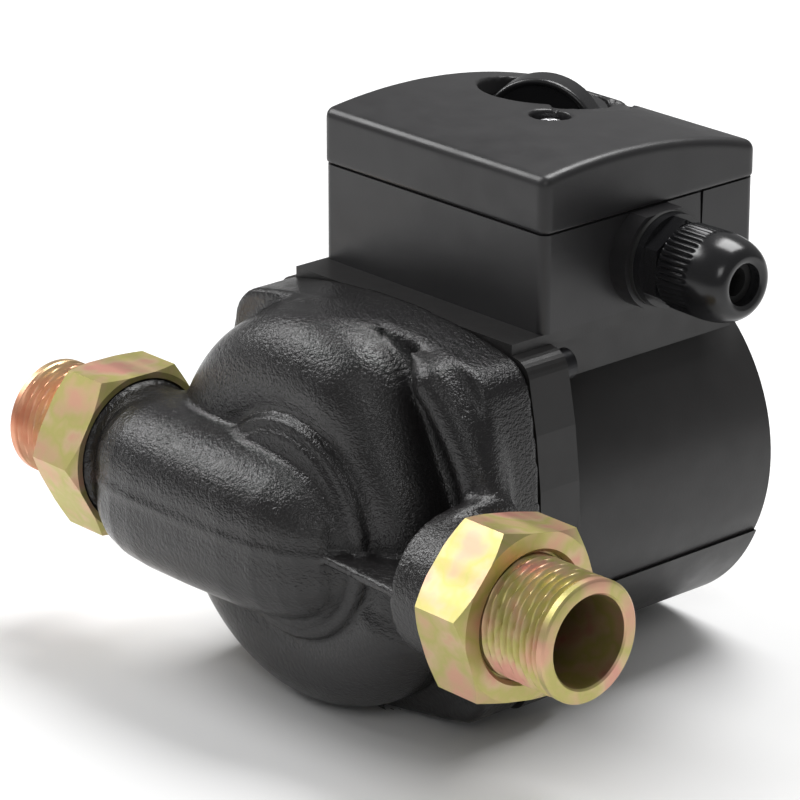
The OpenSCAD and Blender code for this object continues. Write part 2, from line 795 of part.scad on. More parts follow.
module vent_seal() {
    color("#202020") along_y(can_neck_end_y) ring(vent_head_r - over, vent_hole_r, vent_seal_t);
}

module box_seal() {
    color("#202020") translate([cable_hole_x, lid_mid_y, seat_z - box_seal_t])
        ring(cable_hole_r + box_seal_w, cable_hole_r, box_seal_t);
}

module box_screw_places() {
    for (x = [-box_screw_x, box_screw_x], y = [lid_front_y + box_screw_inset,
        lid_rear_y - box_screw_inset]) translate([x, y, 0]) children();
}

// Tray with the gland's boss, the post for the lid screw and a slit in the gland's wall
module terminal_tray() {
    color("#242427") difference() {
        union() {
            difference() {
                union() {
                    box_block(tray_inset, seat_z, tray_h);
                    intersection() {
                        translate([0, gland_y, gland_z]) along_x(tray_half - over)
                            cylinder(r = boss_r, h = boss_end_x - tray_half + over);
                        translate([0, lid_front_y, seat_z])
                            cube([boss_end_x + over, lid_depth, tray_h]);
                    }
                }
                box_block(tray_inset + box_wall, tray_floor_z, tray_h);
            }
            translate([lid_screw_x, lid_screw_y, seat_z]) cylinder(r = box_post_r, h = tray_h);
        }
        translate([0, gland_y, gland_z]) along_x(tray_half - box_wall - over)
            cylinder(r = gland_thread_r + gap / 2, h = boss_len + box_wall + 3 * over);
        translate([lid_screw_x, lid_screw_y, tray_floor_z])
            cylinder(r = seat_screw_r + press_gap, h = tray_h + over);
        translate([cable_hole_x, lid_mid_y, seat_z - over])
            cylinder(r = cable_hole_r, h = tray_floor_t + 2 * over);
        box_screw_places() translate([0, 0, seat_z - over])
            cylinder(r = seat_screw_r + gap, h = tray_floor_t + 2 * over);
        translate([earth_x, earth_y, seat_z + over])
            cylinder(r = terminal_screw_r + press_gap, h = tray_floor_t);
        translate([tray_half - slit_d, slit_y, tray_top_z]) rotate([90, 0, 90])
            linear_extrude(slit_d + over) polygon([[-slit_w / 2, over], [slit_w / 2, over],
                [slit_w / 8, -slit_len], [-slit_w / 8, -slit_len]]);
    }
}

module cross_screw(head_r, head_t, r, len) {
    difference() {
        union() {
            cylinder(r = head_r, h = head_t);
            translate([0, 0, -len]) cylinder(r = r, h = len);
        }
        for (a = [0, 90]) rotate([0, 0, a])
            translate([-head_r * cross_share, -cross_w / 2, head_t - cross_d])
                cube([2 * head_r * cross_share, cross_w, cross_d + over]);
    }
}

module box_screws() {
    color("#c8ccd0") box_screw_places() translate([0, 0, tray_floor_z])
        cross_screw(small_head_r, small_head_t, seat_screw_r, tray_floor_t + seat_screw_len);
}

module lid_gasket() {
    color("#101010") difference() {
        box_block(tray_inset + gasket_inset, tray_top_z, lid_gap);
        box_block(tray_inset + gasket_inset + gasket_w, tray_top_z - over, lid_gap + 2 * over);
    }
}

// Everything below the crowned top, drawn in by the inset
module under_crown(inset) {
    translate([0, crown_y, crown_z - crown_r]) rotate([0, 90, 0])
        translate([0, 0, -2 * lid_half]) cylinder(r = crown_r - inset, h = 4 * lid_half);
}

module terminal_lid() {
    color("#2a2a2d") difference() {
        union() {
            difference() {
                intersection() {
                    box_block(0, lid_z, lid_crown + over);
                    under_crown(0);
                }
                intersection() {
                    box_block(box_wall, lid_z - over, lid_crown + 2 * over);
                    under_crown(lid_top_t);
                }
            }
            intersection() {
                union() {
                    translate([knob_x, knob_y, recess_floor_z - recess_floor_t])
                        cylinder(r = recess_r + recess_wall, h = lid_crown);
                    translate([lid_screw_x, lid_screw_y, screw_floor_z - recess_floor_t])
                        cylinder(r = screw_recess_r + recess_wall, h = lid_crown);
                }
                box_block(0, lid_z, lid_crown + over);
                under_crown(0);
            }
        }
        translate([knob_x, knob_y, recess_floor_z]) cylinder(r = recess_r, h = lid_crown);
        translate([knob_x, knob_y, recess_floor_z - recess_floor_t - over])
            cylinder(r = knob_shaft_r + gap, h = lid_crown);
        translate([lid_screw_x, lid_screw_y, screw_floor_z])
            cylinder(r = screw_recess_r, h = lid_crown);
        translate([lid_screw_x, lid_screw_y, screw_floor_z - recess_floor_t - over])
            cylinder(r = seat_screw_r + gap, h = lid_crown);
    }
}

module lid_screw() {
    color("#d0d0d0") translate([lid_screw_x, lid_screw_y, screw_floor_z])
        cross_screw(small_head_r, small_head_t, seat_screw_r, lid_screw_len);
}

// Disc with a half-moon grip across it and a shaft down to the switch
module speed_knob() {
    disc_z = recess_floor_z + gap;
    top_z = disc_z + knob_disc_t;
    grip_r = knob_r;
    color("#161618") translate([knob_x, knob_y, 0]) rotate([0, 0, knob_turn]) {
        translate([0, 0, disc_z]) cylinder(r = knob_r, h = knob_disc_t);
        translate([0, 0, disc_z - knob_shaft_len]) cylinder(r = knob_shaft_r, h = knob_shaft_len);
        intersection() {
            translate([0, grip_t / 2, top_z + grip_h - grip_r]) rotate([90, 0, 0])
                cylinder(r = grip_r, h = grip_t);
            translate([-knob_r, -grip_t, disc_z]) cube([2 * knob_r, 2 * grip_t, knob_r]);
        }
    }
}

module speed_switch() {
    color("#3c3c40") difference() {
        translate([knob_x - switch_half, knob_y - switch_half, tray_floor_z])
            cube([2 * switch_half, 2 * switch_half, switch_top_z - tray_floor_z]);
        translate([knob_x, knob_y, switch_top_z - knob_shaft_len])
            cylinder(r = knob_shaft_r + gap, h = knob_shaft_len + over);
    }
}

module capacitor() {
    color("#c8c8c4") translate([0, capacitor_y, capacitor_z]) along_x(capacitor_x)
        cylinder(r = capacitor_r, h = capacitor_len);
}

module capacitor_clip() {
    mid = capacitor_x + capacitor_len / 2 - clip_w / 2;
    color("#b0b4b8") difference() {
        union() {
            translate([0, capacitor_y, capacitor_z]) along_x(mid)
                cylinder(r = capacitor_r + gap + clip_t, h = clip_w);
            translate([mid, capacitor_y - capacitor_r / 2, tray_floor_z])
                cube([clip_w, capacitor_r, capacitor_r]);
        }
        translate([0, capacitor_y, capacitor_z]) along_x(mid - over)
            cylinder(r = capacitor_r + gap, h = clip_w + 2 * over);
    }
}

module terminal_places() {
    for (i = [0:terminal_count - 1])
        translate([block_x + block_len * (i + 0.5) / terminal_count, block_y + block_w / 2, 0])
            children();
}

module terminal_block() {
    color("#d8d6cc") difference() {
        translate([block_x, block_y, tray_floor_z]) cube([block_len, block_w, block_h]);
        terminal_places() translate([0, 0, tray_floor_z + block_h / 2])
            cylinder(r = terminal_screw_r + gap, h = block_h);
    }
}

module terminal_screws() {
    color("#c9b46c") terminal_places() translate([0, 0, tray_floor_z + block_h / 2])
        difference() {
            cylinder(r = terminal_screw_r, h = block_h / 2 - terminal_sink);
            translate([-terminal_screw_r - over, -cross_w / 2,
                block_h / 2 - terminal_sink - cross_d])
                cube([2 * (terminal_screw_r + over), cross_w, cross_d + over]);
        }
}

module earth_screw() {
    color("#c9b46c") translate([earth_x, earth_y, tray_floor_z])
        cross_screw(small_head_r, small_head_t, terminal_screw_r, tray_floor_t - over);
}

module gland_place(x) translate([0, gland_y, gland_z]) along_x(x) children();

module gland_body() {
    color("#18181a") difference() {
        union() {
            gland_place(gland_inner_x)
                cylinder(r = gland_thread_r, h = gland_collar_x - gland_inner_x + over);
            gland_place(gland_collar_x)
                cylinder(r = gland_washer_r - gap, h = gland_collar_t);
            gland_place(gland_hex_x - over / 2) hexagon(gland_flats, gland_hex_t + over / 2);
            gland_place(gland_hex_x) cylinder(r = gland_thread_r, h = gland_hex_t + cap_thread_len);
        }
        gland_place(gland_inner_x - over)
            cylinder(r = gland_bore_r, h = cap_x + cap_thread_len - gland_inner_x);
        gland_place(seal_x - gap) cylinder(r = seal_r + gap, h = cap_thread_len + over);
    }
}

module gland_washer() {
    color("#101012") gland_place(boss_end_x)
        ring(gland_washer_r, gland_thread_r + gap, washer_len);
}

module gland_locknut() {
    color("#18181a") gland_place(tray_half - box_wall - locknut_t) difference() {
        rotate([0, 0, 30]) hexagon(locknut_flats, locknut_t);
        translate([0, 0, -over]) cylinder(r = gland_thread_r + gap / 2, h = locknut_t + 2 * over);
    }
}

module gland_seal() {
    color("#0c0c0d") gland_place(seal_x) ring(seal_r, seal_bore_r, seal_end_x - seal_x);
}

// Nut with a domed end that squeezes the seal on the cable
module gland_cap() {
    dome_h = cap_len - cap_skirt;
    lip_r = cap_mouth_r + cap_rim_w;
    dome = [for (i = [0:8]) [lip_r + (cap_r - cap_draft - lip_r) * cos(90 * i / 8),
        cap_skirt + dome_h * sin(90 * i / 8)]];
    inner_r = gland_thread_r + gap;
    room_r = seal_r + 2 * gap;
    color("#18181a") gland_place(cap_x) rotate_extrude() polygon(concat(
        [[inner_r, 0], [cap_r, 0], [cap_r, cap_skirt]], dome,
        [[cap_mouth_r, cap_len], [cap_mouth_r, seal_end_x - cap_x + gap],
        [room_r, seal_end_x - cap_x + gap], [room_r, cap_thread_len + gap],
        [inner_r, cap_thread_len + gap]]));
}

volute_casing();
neck_ring();
inlet_gasket();
outlet_gasket();
inlet_tailpiece();
outlet_tailpiece();
inlet_union_nut();
outlet_union_nut();
impeller();
rotor_shaft();
rotor_core();
thrust_washer();
front_bearing();
rear_bearing();
bearing_plate();
rotor_can();
casing_seal();
stator_core();
stator_windings();
motor_housing();
flange_screws();
vent_screw();
vent_seal();
box_seal();
terminal_tray();
box_screws();
lid_gasket();
terminal_lid();
lid_screw();
speed_knob();
speed_switch();
capacitor();
capacitor_clip();
terminal_block();
terminal_screws();
earth_screw();
gland_body();
gland_washer();
gland_locknut();
gland_seal();
gland_cap();
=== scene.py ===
import bpy, json, math
import numpy as np
from mathutils import Matrix, Vector


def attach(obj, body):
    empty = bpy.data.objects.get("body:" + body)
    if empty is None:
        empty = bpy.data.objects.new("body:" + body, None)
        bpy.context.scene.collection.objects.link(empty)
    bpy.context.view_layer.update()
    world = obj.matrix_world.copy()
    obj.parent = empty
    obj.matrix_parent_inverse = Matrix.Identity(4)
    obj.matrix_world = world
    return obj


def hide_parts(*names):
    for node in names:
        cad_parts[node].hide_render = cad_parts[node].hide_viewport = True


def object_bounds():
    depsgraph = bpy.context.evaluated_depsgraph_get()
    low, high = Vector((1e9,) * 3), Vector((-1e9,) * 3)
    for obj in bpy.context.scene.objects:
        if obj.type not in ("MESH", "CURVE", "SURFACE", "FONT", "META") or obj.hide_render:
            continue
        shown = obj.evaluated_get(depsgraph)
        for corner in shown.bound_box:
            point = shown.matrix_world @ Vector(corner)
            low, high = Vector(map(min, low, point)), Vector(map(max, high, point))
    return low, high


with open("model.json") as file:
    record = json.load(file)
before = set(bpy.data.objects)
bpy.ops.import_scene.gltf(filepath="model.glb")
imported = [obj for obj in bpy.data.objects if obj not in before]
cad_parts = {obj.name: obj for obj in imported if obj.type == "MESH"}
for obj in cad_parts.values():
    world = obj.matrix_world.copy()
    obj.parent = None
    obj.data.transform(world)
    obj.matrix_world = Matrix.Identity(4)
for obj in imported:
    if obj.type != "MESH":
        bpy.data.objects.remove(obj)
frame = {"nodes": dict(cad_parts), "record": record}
cad_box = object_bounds()
nodes = frame["nodes"]

# Shared helpers. Shapes are worked out in millimetres in the row frame and stored in metres.
# A solid is either a field, negative inside, meshed by surface nets, or a profile turned round an axis.
MM = 0.001


def mesh_object(name, verts, faces):
    """A smooth-shaded object whose place is in its mesh."""
    me = bpy.data.meshes.new(name)
    me.from_pydata((np.asarray(verts) * MM).tolist(), [], [list(f) for f in faces])
    me.update()
    me.shade_smooth()
    obj = bpy.data.objects.new(name, me)
    bpy.context.scene.collection.objects.link(obj)
    return obj


def surface(name, field, low, high, step):
    """The zero level of field(x, y, z) between two corners, on a grid with that step."""
    axes = [np.arange(a, b + step, step) for a, b in zip(low, high)]
    d = np.empty([len(a) for a in axes], np.float32)
    y, z = np.meshgrid(axes[1], axes[2], indexing="ij")
    for i, x in enumerate(axes[0]):
        d[i] = field(np.full_like(y, x), y, z)
    cells = [m - 1 for m in d.shape]
    size = cells[0] * cells[1] * cells[2]
    count, total, quads = np.zeros(size), np.zeros((size, 3)), []
    for a in range(3):
        b, c = (a + 1) % 3, (a + 2) % 3
        d0 = np.take(d, range(d.shape[a] - 1), axis=a)
        d1 = np.take(d, range(1, d.shape[a]), axis=a)
        cross = (d0 < 0) != (d1 < 0)
        edge = np.argwhere(cross)
        keep = ((edge[:, b] > 0) & (edge[:, b] < cells[b]) & (edge[:, c] > 0)
                & (edge[:, c] < cells[c]))
        edge, v0, v1 = edge[keep], d0[cross][keep], d1[cross][keep]
        place = edge.astype(float)
        place[:, a] += v0 / (v0 - v1)
        ring = []
        for ob, oc in ((0, 0), (1, 0), (1, 1), (0, 1)):
            cell = edge.copy()
            cell[:, b] -= ob
            cell[:, c] -= oc
            flat = np.ravel_multi_index(cell.T, cells)
            ring.append(flat)
            count += np.bincount(flat, minlength=size)
            for k in range(3):
                total[:, k] += np.bincount(flat, weights=place[:, k], minlength=size)
        ring = np.stack(ring, 1)
        quads.append(np.where((v0 < 0)[:, None], ring, ring[:, ::-1]))
    used = np.flatnonzero(count)
    number = np.zeros(size, int)
    number[used] = np.arange(len(used))
    verts = total[used] / count[used, None] * step + np.array(low)
    return mesh_object(name, verts, number[np.concatenate(quads)])


def turned(name, rows, columns, place):
    """A closed skin: rows of (along, radius as a function of the angle) round an axis, joined end to end."""
    angle = np.arange(columns) * 2 * math.pi / columns
    verts = np.array([place(along, radius(angle) if callable(radius) else radius, angle)
                      for along, radius in rows]).reshape(-1, 3)
    faces = []
    for i in range(len(rows)):
        j = (i + 1) % len(rows)
        for k in range(columns):
            m = (k + 1) % columns
            faces.append((i * columns + k, i * columns + m, j * columns + m, j * columns + k))
    obj = mesh_object(name, verts, faces)
    obj.data.set_sharp_from_angle(angle=math.radians(40))
    return obj


def round_x(y0, z0, side=1):
    """Places a turned skin on an axis along X through (y0, z0); side -1 mirrors it."""
    def place(along, radius, angle):
        radius = np.broadcast_to(radius, angle.shape)
        x = np.broadcast_to(along, angle.shape) * side
        return np.stack([x, y0 + radius * np.cos(angle * side), z0 + radius * np.sin(angle * side)], 1)
    return place


def smin(a, b, k):
    """The lower of two fields, blended over about k millimetres."""
    h = np.clip(0.5 + 0.5 * (b - a) / k, 0, 1)
    return b + (a - b) * h - k * h * (1 - h)


def smax(a, b, k):
    return -smin(-a, -b, k)


def rounded(d1, d2, r):
    """Field of what lies inside both d1 and d2, with a rounded edge of radius r."""
    q1, q2 = d1 + r, d2 + r
    return np.minimum(np.maximum(q1, q2), 0) + np.hypot(np.maximum(q1, 0), np.maximum(q2, 0)) - r


def tube_x(x, y, z, r, x0, x1, y0=0.0, z0=0.0, edge=0.5):
    return rounded(np.hypot(y - y0, z - z0) - r, np.maximum(x0 - x, x - x1), edge)


def tube_y(x, y, z, r, y0, y1, x0=0.0, z0=0.0, edge=0.5):
    return rounded(np.hypot(x - x0, z - z0) - r, np.maximum(y0 - y, y - y1), edge)


def tube_z(x, y, z, r, z0, z1, x0=0.0, y0=0.0, edge=0.5):
    return rounded(np.hypot(x - x0, y - y0) - r, np.maximum(z0 - z, z - z1), edge)


def ramp(v, a, b):
    t = np.clip((v - a) / (b - a), 0, 1)
    return t * t * (3 - 2 * t)


# Materials: each is one Principled shader with noise in Object coordinates, at the real scale.
# Base tones are mixed by a broad noise, roughness by a middle one, and the bump has two grains.
def material(name, tones, rough, metallic=0.0, broad=25, grain=900, fine=2600, bump=0.1,
             fine_bump=0.05, depth=0.0002, coat=0.0, stretch=(1, 1, 1), rough_scale=120):
    mat = bpy.data.materials.new(name)
    mat.use_nodes = True
    nt = mat.node_tree
    bsdf = nt.nodes["Principled BSDF"]
    bsdf.inputs["Metallic"].default_value = metallic
    bsdf.inputs["Coat Weight"].default_value = coat
    bsdf.inputs["Coat Roughness"].default_value = 0.12
    link = nt.links.new
    coord = nt.nodes.new("ShaderNodeTexCoord")
    scale = nt.nodes.new("ShaderNodeMapping")
    scale.inputs["Scale"].default_value = stretch
    link(coord.outputs["Object"], scale.inputs["Vector"])

    def noise(freq, detail, source):
        n = nt.nodes.new("ShaderNodeTexNoise")
        n.inputs["Scale"].default_value = freq
        n.inputs["Detail"].default_value = detail
        link(source, n.inputs["Vector"])
        return n.outputs["Fac"]

    colours = nt.nodes.new("ShaderNodeValToRGB")
    band = colours.color_ramp
    while len(band.elements) < len(tones):
        band.elements.new(0.5)
    for i, tone in enumerate(tones):
        band.elements[i].position = 0.32 + 0.36 * i / max(1, len(tones) - 1)
        band.elements[i].color = (*tone, 1)
    link(noise(broad, 3, coord.outputs["Object"]), colours.inputs["Fac"])
    link(colours.outputs["Color"], bsdf.inputs["Base Color"])
    spread = nt.nodes.new("ShaderNodeMapRange")
    spread.inputs["From Min"].default_value = 0.3
    spread.inputs["From Max"].default_value = 0.7
    spread.inputs["To Min"].default_value = rough[0]
    spread.inputs["To Max"].default_value = rough[1]
    link(noise(rough_scale, 4, scale.outputs["Vector"]), spread.inputs["Value"])
    link(spread.outputs["Result"], bsdf.inputs["Roughness"])
    normal = None
    for freq, strength in ((grain, bump), (fine, fine_bump)):
        node = nt.nodes.new("ShaderNodeBump")
        node.inputs["Strength"].default_value = strength
        node.inputs["Distance"].default_value = depth
        link(noise(freq, 2, scale.outputs["Vector"]), node.inputs["Height"])
        if normal:
            link(normal, node.inputs["Normal"])
        normal = node.outputs["Normal"]
    link(normal, bsdf.inputs["Normal"])
    return mat


ZINC = [(0.66, 0.38, 0.26), (0.60, 0.44, 0.24), (0.50, 0.46, 0.16), (0.62, 0.47, 0.27), (0.66, 0.34, 0.26)]
looks = {
    "casting": material("cast_paint", [(0.010, 0.0095, 0.010), (0.016, 0.015, 0.015)], (0.13, 0.27),
                        grain=900, fine=2200, bump=0.6, fine_bump=0.45, depth=0.00045),
    "housing": material("satin_paint", [(0.012, 0.0115, 0.0115), (0.017, 0.016, 0.016)], (0.36, 0.46),
                        grain=1500, fine=4000, bump=0.10, fine_bump=0.08),
    "zinc_yellow": material("yellow_zinc", ZINC, (0.38, 0.52), metallic=0.85, broad=70, grain=500,
                            fine=2500, bump=0.06, fine_bump=0.10, depth=0.00005, stretch=(0.12, 1, 1)),
    "zinc_warm": material("warm_zinc", [(0.62, 0.24, 0.14), (0.72, 0.38, 0.24), (0.70, 0.50, 0.28)],
                          (0.30, 0.46), metallic=0.9, broad=70, grain=500, fine=2500, bump=0.06,
                          fine_bump=0.10, depth=0.00005, stretch=(0.12, 1, 1)),
    "rubber": material("rubber", [(0.010, 0.010, 0.010), (0.016, 0.016, 0.016)], (0.55, 0.7)),
    "stainless": material("stainless", [(0.55, 0.55, 0.56), (0.66, 0.66, 0.67)], (0.22, 0.36),
                          metallic=1.0, stretch=(1, 0.1, 1)),
    "screw_black": material("black_oxide", [(0.018, 0.018, 0.02), (0.03, 0.03, 0.032)], (0.3, 0.45),
                            metallic=0.6),
    "impeller_plastic": material("glass_filled_plastic", [(0.50, 0.45, 0.34), (0.60, 0.55, 0.44)],
                                 (0.4, 0.55)),
    "bearing_carbon": material("carbon", [(0.02, 0.02, 0.022), (0.035, 0.035, 0.038)], (0.3, 0.5)),
    "iron": material("sheet_iron", [(0.22, 0.23, 0.25), (0.32, 0.33, 0.35)], (0.35, 0.5),
                     metallic=1.0, stretch=(1, 8, 1)),
    "copper": material("enamelled_copper", [(0.42, 0.13, 0.05), (0.58, 0.22, 0.09)], (0.25, 0.4),
                       metallic=0.8),
    "box_plastic": material("box_plastic", [(0.014, 0.0135, 0.0145), (0.018, 0.0175, 0.0185)],
                            (0.34, 0.42), grain=1800, fine=5000, bump=0.10, fine_bump=0.10),
    "knob_plastic": material("knob_plastic", [(0.010, 0.010, 0.011), (0.015, 0.015, 0.016)],
                             (0.26, 0.34), bump=0.03, fine_bump=0.03),
    "gland_nylon": material("nylon", [(0.008, 0.008, 0.009), (0.013, 0.013, 0.014)], (0.16, 0.26),
                            bump=0.04, fine_bump=0.03),
    "switch_plastic": material("switch_plastic", [(0.03, 0.03, 0.035), (0.05, 0.05, 0.055)], (0.5, 0.6)),
    "capacitor_shell": material("capacitor_shell", [(0.60, 0.60, 0.58), (0.70, 0.70, 0.68)],
                                (0.3, 0.4), metallic=1.0),
    "block_plastic": material("block_plastic", [(0.62, 0.60, 0.52), (0.70, 0.68, 0.60)], (0.3, 0.45)),
    "brass": material("brass", [(0.60, 0.42, 0.16), (0.72, 0.54, 0.24)], (0.2, 0.35), metallic=1.0),
}
slot_of = {s["node"]: s["material_slot"] for s in frame["record"]["subparts"]}
for name, node in nodes.items():
    for place in node.material_slots:
        place.material = looks[slot_of[name]]


def finish_piece(obj, body, slot, *replaced):
    obj.data.materials.append(looks[slot])
    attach(obj, body)
    if replaced:
        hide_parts(*replaced)


# Camera at the photograph's viewpoint, aimed along the ray through the middle of its frame.
# The photograph's optical centre lies off its middle, so the aim is turned and no shift is used.
FOCAL_PX, CENTRE_PX, ROLL = 4473.65, (306.07, 521.28), math.radians(-0.39)
eye = Vector((841.83, -727.15, 450.46)) * MM
ahead = (-eye).normalized()
right = ahead.cross(Vector((0, 0, 1))).normalized()
up = right.cross(ahead)
right, up = (right * math.cos(ROLL) + up * math.sin(ROLL), up * math.cos(ROLL) - right * math.sin(ROLL))
aim = (ahead * FOCAL_PX + right * (400 - CENTRE_PX[0]) - up * (400 - CENTRE_PX[1])).normalized()
side = aim.cross(up).normalized()
cam_data = bpy.data.cameras.new("camera")
cam_data.sensor_width = 36
cam_data.lens = FOCAL_PX * 36 / 800
cam_data.clip_end = 20
camera = bpy.data.objects.new("camera", cam_data)
bpy.context.scene.collection.objects.link(camera)
camera.matrix_world = Matrix.Translation(eye) @ Matrix((side, side.cross(aim), -aim)).transposed().to_4x4()
bpy.context.scene.camera = camera

# Pale floor under the pump, a light surround and two soft boxes.
# The surround gives the paint its even grey, and the boxes its highlights.
floor = mesh_object("floor", [(-3000, -3000, 0), (3000, -3000, 0), (3000, 3000, 0), (-3000, 3000, 0)],
                    [(0, 1, 2, 3)])
floor.location.z = cad_box[0][2] - 0.0005
floor_mat = bpy.data.materials.new("pale_floor")
floor_mat.use_nodes = True
floor_mat.node_tree.nodes["Principled BSDF"].inputs["Base Color"].default_value = (0.9, 0.9, 0.9, 1)
floor_mat.node_tree.nodes["Principled BSDF"].inputs["Roughness"].default_value = 0.7
floor.data.materials.append(floor_mat)
world = bpy.data.worlds.new("studio")
world.use_nodes = True
world.node_tree.nodes["Background"].inputs["Color"].default_value = (1, 1, 1, 1)
world.node_tree.nodes["Background"].inputs["Strength"].default_value = 0.24
bpy.context.scene.world = world


def soft_box(name, place, size, power):
    data = bpy.data.lights.new(name, "AREA")
    data.shape, data.size, data.size_y, data.energy = "RECTANGLE", size[0], size[1], power
    obj = bpy.data.objects.new(name, data)
    obj.location = place
    obj.rotation_euler = (Vector((0, 0.02, 0.02)) - Vector(place)).to_track_quat("-Z", "Y").to_euler()
    bpy.context.scene.collection.objects.link(obj)


soft_box("key", (-0.95, -0.35, 0.9), (0.6, 0.7), 11)
soft_box("top", (-0.1, 0.55, 1.1), (0.7, 0.7), 15)
soft_box("fill", (0.9, -0.9, 0.9), (0.5, 0.5), 3)
bpy.context.scene.view_settings.view_transform = "Standard"

# Volute casing: one painted sand casting, with filleted forms, a parting line and machined bores.
# The suction chamber's corner radius changes along it, and the spiral grows round the dome.
FLANGE = dict(half=55.4, side_r=195.0, corner_r=6.0, front=18.2, back=34.3)
CHAMBER_X = [-73, -71, -69, -67, -64, -60, -54, -45, -30, -8, 4, 12, 17, 22, 25, 27]
CHAMBER_R = [-3, 5, 8.6, 11.2, 13.8, 15.9, 17.4, 18.05, 18.05, 17.6, 16.3, 14.0, 11.6, 7.6, 2.8, -2]
CHAMBER_CORE = dict(fwd=-7.0, back=2.5, low=-7.9, high=3.8)


def flange_field(x, z):
    """Square with bowed sides and round corners, seen along the motor axis."""
    off, r = FLANGE["side_r"] - FLANGE["half"], FLANGE["side_r"] - FLANGE["corner_r"]
    a = np.hypot(np.abs(x) + off, z) - r
    b = np.hypot(x, np.abs(z) + off) - r
    return np.minimum(np.maximum(a, b), 0) + np.hypot(np.maximum(a, 0), np.maximum(b, 0)) - FLANGE["corner_r"]


def chamber_field(x, y, z, inset=0.0):
    dy = y - np.clip(y, CHAMBER_CORE["fwd"], CHAMBER_CORE["back"])
    dz = z - np.clip(z, CHAMBER_CORE["low"], CHAMBER_CORE["high"])
    r = np.interp(x, CHAMBER_X, CHAMBER_R)
    slope = (np.interp(x + 1.5, CHAMBER_X, CHAMBER_R) - np.interp(x - 1.5, CHAMBER_X, CHAMBER_R)) / 3
    return (np.hypot(dy, dz) - r) / np.sqrt(1 + slope * slope) + inset


def casing_field(x, y, z):
    r = np.hypot(x, z)
    angle = np.degrees(np.arctan2(z, x)) % 360
    near = np.where(angle > 180, 1 - ramp(angle, 330, 352), ramp(angle, 40, 80))
    dome = rounded(r - 43.4 - 3.6 * near, -4 - y, 12)
    ring = rounded(r - 31.4 - 0.16 * (y + 4), -8 - y, 1.8)
    ring = np.minimum(ring, rounded(r - 27.4, -9.2 - y, 1.0))
    grow = ramp(angle, 18, 75) * (1 - ramp(angle, 326, 352))
    spiral = np.hypot(np.hypot(x + 4, z) - 40, y - 11) - 15.5 * grow
    fade = np.where(angle > 180, ramp(angle, 325, 345), 1 - ramp(angle, 52, 66))
    ridge = np.hypot(r - 57.0, y - 15.0) - 6.2 * fade
    flange = rounded(flange_field(x, z), FLANGE["front"] - y, 1.5)
    seam = np.where(y < 0, 0.5 * np.exp(-(z / 1.2) ** 4), 0)
    chamber = chamber_field(x, y, z) - seam
    neck = np.hypot(np.hypot(y - 5, z), np.maximum(60 - x, 0) * 1.6) - 21.3
    neck = smax(neck, x - 62, 3)
    ports = np.minimum(tube_x(x, y, z, 19.75, 55, 80), tube_x(x, y, z, 19.75, -80, -55))
    collars = np.minimum(tube_x(x, y, z, 20.9, 69, 80), tube_x(x, y, z, 20.9, -80, -69))
    web = rounded(np.abs(z) - 1.3, np.maximum(-14.1 - (x - 15.5) * 0.0695 - y,
                                              np.maximum(12 - x, x - 64)), 0.8)
    web = np.maximum(web, y - 5)
    body = smin(smin(dome, spiral, 6), ring, 1.3)
    body = smin(body, np.maximum(r - 50, 15.5 - y), 3)
    body = smin(smin(body, ridge, 5), flange, 5)
    body = smin(body, neck, 5)
    body = smin(body, chamber, 2.6)
    body = smin(body, np.minimum(ports, collars), 1.2)
    body = smin(body, web, 1.6)
    hollow = np.maximum(chamber_field(x, y, z, 4.5), -np.minimum(dome, spiral))
    hollow = np.minimum(hollow, tube_x(x, y, z, 15, -90, -60, edge=0.1))
    hollow = np.minimum(hollow, tube_x(x, y, z, 15, 62, 90, edge=0.1))
    hollow = np.minimum(hollow, tube_x(x, y, z, 13.5, 53, 63, 5, 0, 0.1))
    hollow = np.minimum(hollow, tube_y(x, y, z, 16.9, -9, 2, edge=0.1))
    hollow = np.minimum(hollow, tube_y(x, y, z, 39, 0, 24, edge=3))
    hollow = np.minimum(hollow, np.hypot(np.hypot(x + 4, z) - 40, y - 11) - 9.5 * grow + 1)
    hollow = np.minimum(hollow, tube_y(x, y, z, 46.9, 22.5, 40, edge=0.1))
    hollow = np.minimum(hollow, tube_y(x, y, z, 50.6, 31.25, 40, edge=0.1))
    corner = np.hypot(np.abs(x) - 44.17, np.abs(z) - 44.17) - 2.6
    hollow = np.minimum(hollow, np.maximum(corner, 23 - y))
    ends = np.maximum(y - FLANGE["back"], np.abs(z) - FLANGE["half"])
    return np.maximum(np.maximum(body, -hollow), ends)


casing = surface("casing", casing_field, (-82, -27.5, -60), (82, 36, 60), 1.0)
finish_piece(casing, "pump_body", "casting", "volute_casing")

# Tailpieces: a collar inside the nut, then a helical pipe thread with a plain band at its tip.
# The left one is the warmer of the two.
TAIL = dict(start=82.0, collar=2.5, collar_r=20.65, r=16.62, bore=12.5, end=108.9, depth=1.45,
            pitch=2.309, band=2.9)


def thread_radius(x):
    def radius(angle):
        phase = (x / TAIL["pitch"] - angle / (2 * math.pi)) % 1
        groove = np.clip(1.16 - np.abs(phase - 0.5) * 2.32, 0, 1)
        live = ramp(x, 85.5, 87.0) * (1 - ramp(x, TAIL["end"] - TAIL["band"] - 0.5,
                                               TAIL["end"] - TAIL["band"] + 0.5))
        return TAIL["r"] - TAIL["depth"] * groove * live
    return radius


